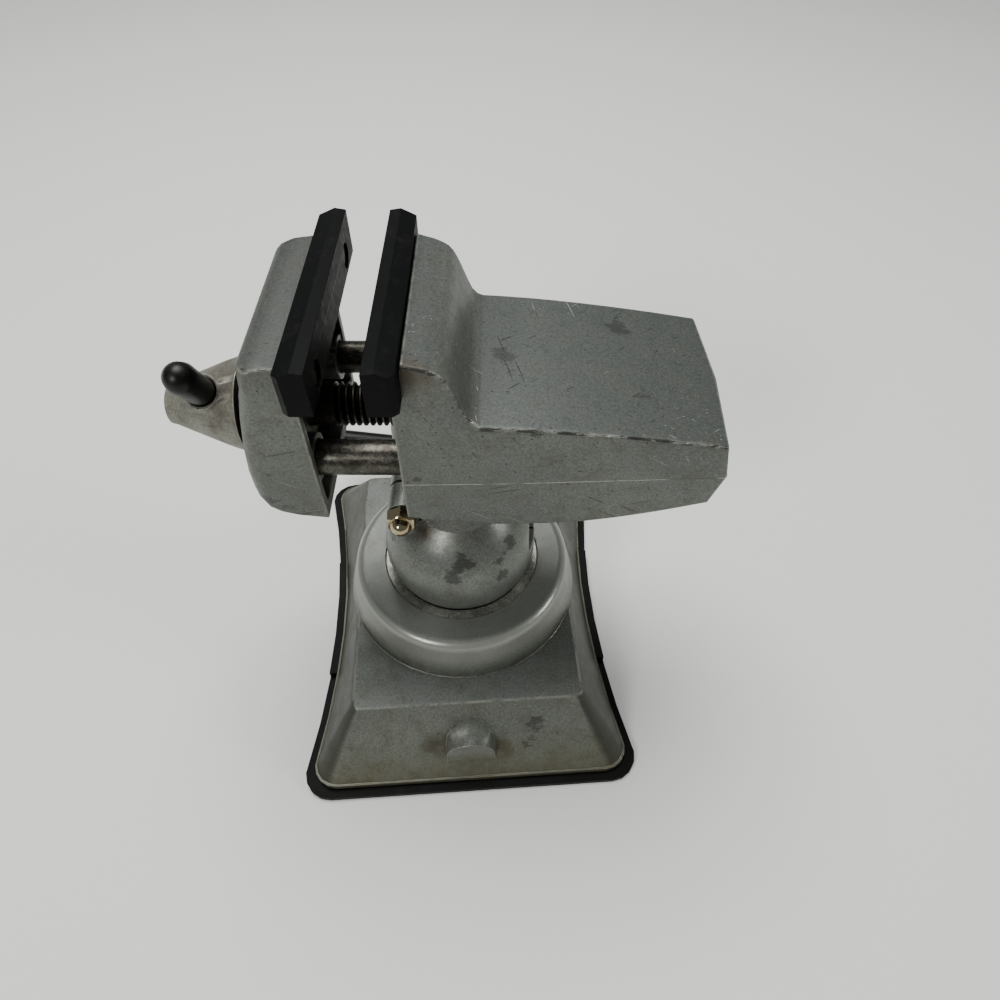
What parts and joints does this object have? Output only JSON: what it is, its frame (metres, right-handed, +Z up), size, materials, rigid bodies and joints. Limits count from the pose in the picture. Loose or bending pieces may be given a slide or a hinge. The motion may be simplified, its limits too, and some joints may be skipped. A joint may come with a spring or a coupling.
{
  "type": "ball vise",
  "caption": "Small bench vise on a clamped ball joint, with soft black jaw facings, a crank-driven screw and a lever-operated vacuum base.",
  "frame": {"origin": "middle of the flat underside of the rubber vacuum pad, on the bench", "axes": "+Z up through the ball and its stem; X along the jaw travel with the crank at -X; the base's front boss faces -Y and its vacuum lever is at +Y"},
  "size_m": [0.1557, 0.1578, 0.1635],
  "materials": {
    "grey_casting": "satin grey die casting, rubbed bright at its edges",
    "black_rubber": "matte black moulded rubber",
    "black_plastic": "glossy black moulding",
    "black_jaw": "matte black moulded jaw facing",
    "worn_zinc": "bare die-cast zinc, worn and yellowed",
    "chrome": "bright plated cap nut",
    "bronze": "dull machined bronze",
    "oiled_steel": "dark oily steel with light rust"
  },
  "bodies": {
    "base": {"base_casting": "grey_casting", "suction_pad": "black_rubber"},
    "plunger": {"pad_plate": "oiled_steel", "pad_yoke": "oiled_steel"},
    "cam": {"cam_shaft": "oiled_steel", "lift_cam": "oiled_steel", "cam_pin": "oiled_steel", "shaft_clip": "oiled_steel", "lever_arm": "oiled_steel", "lever_grip": "black_plastic", "lever_pin": "oiled_steel"},
    "seat": {"seat_ring": "oiled_steel"},
    "ball": {"ball_front_half": "grey_casting", "ball_rear_half": "grey_casting", "cap_nut": "chrome", "clamp_washer": "oiled_steel"},
    "clamp": {"clamp_stud": "oiled_steel", "clamp_knob": "grey_casting"},
    "head": {"head_body": "grey_casting", "head_stem": "oiled_steel", "stem_pin": "oiled_steel", "drive_nut": "bronze", "jaw_pad_fixed": "black_jaw", "jaw_pad_fixed_screw_front": "oiled_steel", "jaw_pad_fixed_screw_rear": "oiled_steel"},
    "jaw": {"moving_jaw": "grey_casting", "jaw_pad_moving": "black_jaw", "jaw_pad_moving_screw_front": "oiled_steel", "jaw_pad_moving_screw_rear": "oiled_steel", "guide_rod_front": "oiled_steel", "guide_rod_rear": "oiled_steel"},
    "screw": {"lead_screw": "oiled_steel", "thrust_washer": "oiled_steel", "thrust_collar": "oiled_steel", "collar_pin": "oiled_steel", "crank_hub": "worn_zinc", "hub_pin": "oiled_steel", "crank_knob": "black_plastic"}
  },
  "joints": [
    {"name": "ball_turn", "type": "hinge", "parent": "base", "child": "seat", "pos_m": [0, 0, 0.0578], "axis": [0, 0, 1], "continuous": true},
    {"name": "ball_tilt", "type": "hinge", "parent": "seat", "child": "ball", "pos_m": [0, 0, 0.0578], "axis": [0, 1, 0], "range_deg": [-35, 35]},
    {"name": "clamp_turn", "type": "hinge", "parent": "ball", "child": "clamp", "pos_m": [-0.0175, 0, 0.0833], "axis": [0, 1, 0], "range_deg": [-270, 90]},
    {"name": "head_turn", "type": "hinge", "parent": "ball", "child": "head", "pos_m": [0, 0, 0.0578], "axis": [0, 0, 1], "continuous": true},
    {"name": "jaw_slide", "type": "slide", "parent": "head", "child": "jaw", "axis": [1, 0, 0], "range_m": [-0.045, 0.0118]},
    {"name": "screw_turn", "type": "hinge", "parent": "jaw", "child": "screw", "pos_m": [-0.0575, 0, 0.1226], "axis": [1, 0, 0], "range_deg": [-8400, 2300]},
    {"name": "vac_lever", "type": "hinge", "parent": "base", "child": "cam", "pos_m": [0, 0, 0.0169], "axis": [-0.0663, 0.9978, 0], "range_deg": [0, 170]},
    {"name": "pad_lift", "type": "slide", "parent": "base", "child": "plunger", "axis": [0, 0, 1], "range_m": [0, 0.00283]}
  ],
  "couplings": [
    {"joint": "screw_turn", "follows": "jaw_slide", "rad_per_m": 3215.6},
    {"joint": "vac_lever", "follows": "pad_lift", "rad_per_m": 1047.3}
  ]
}
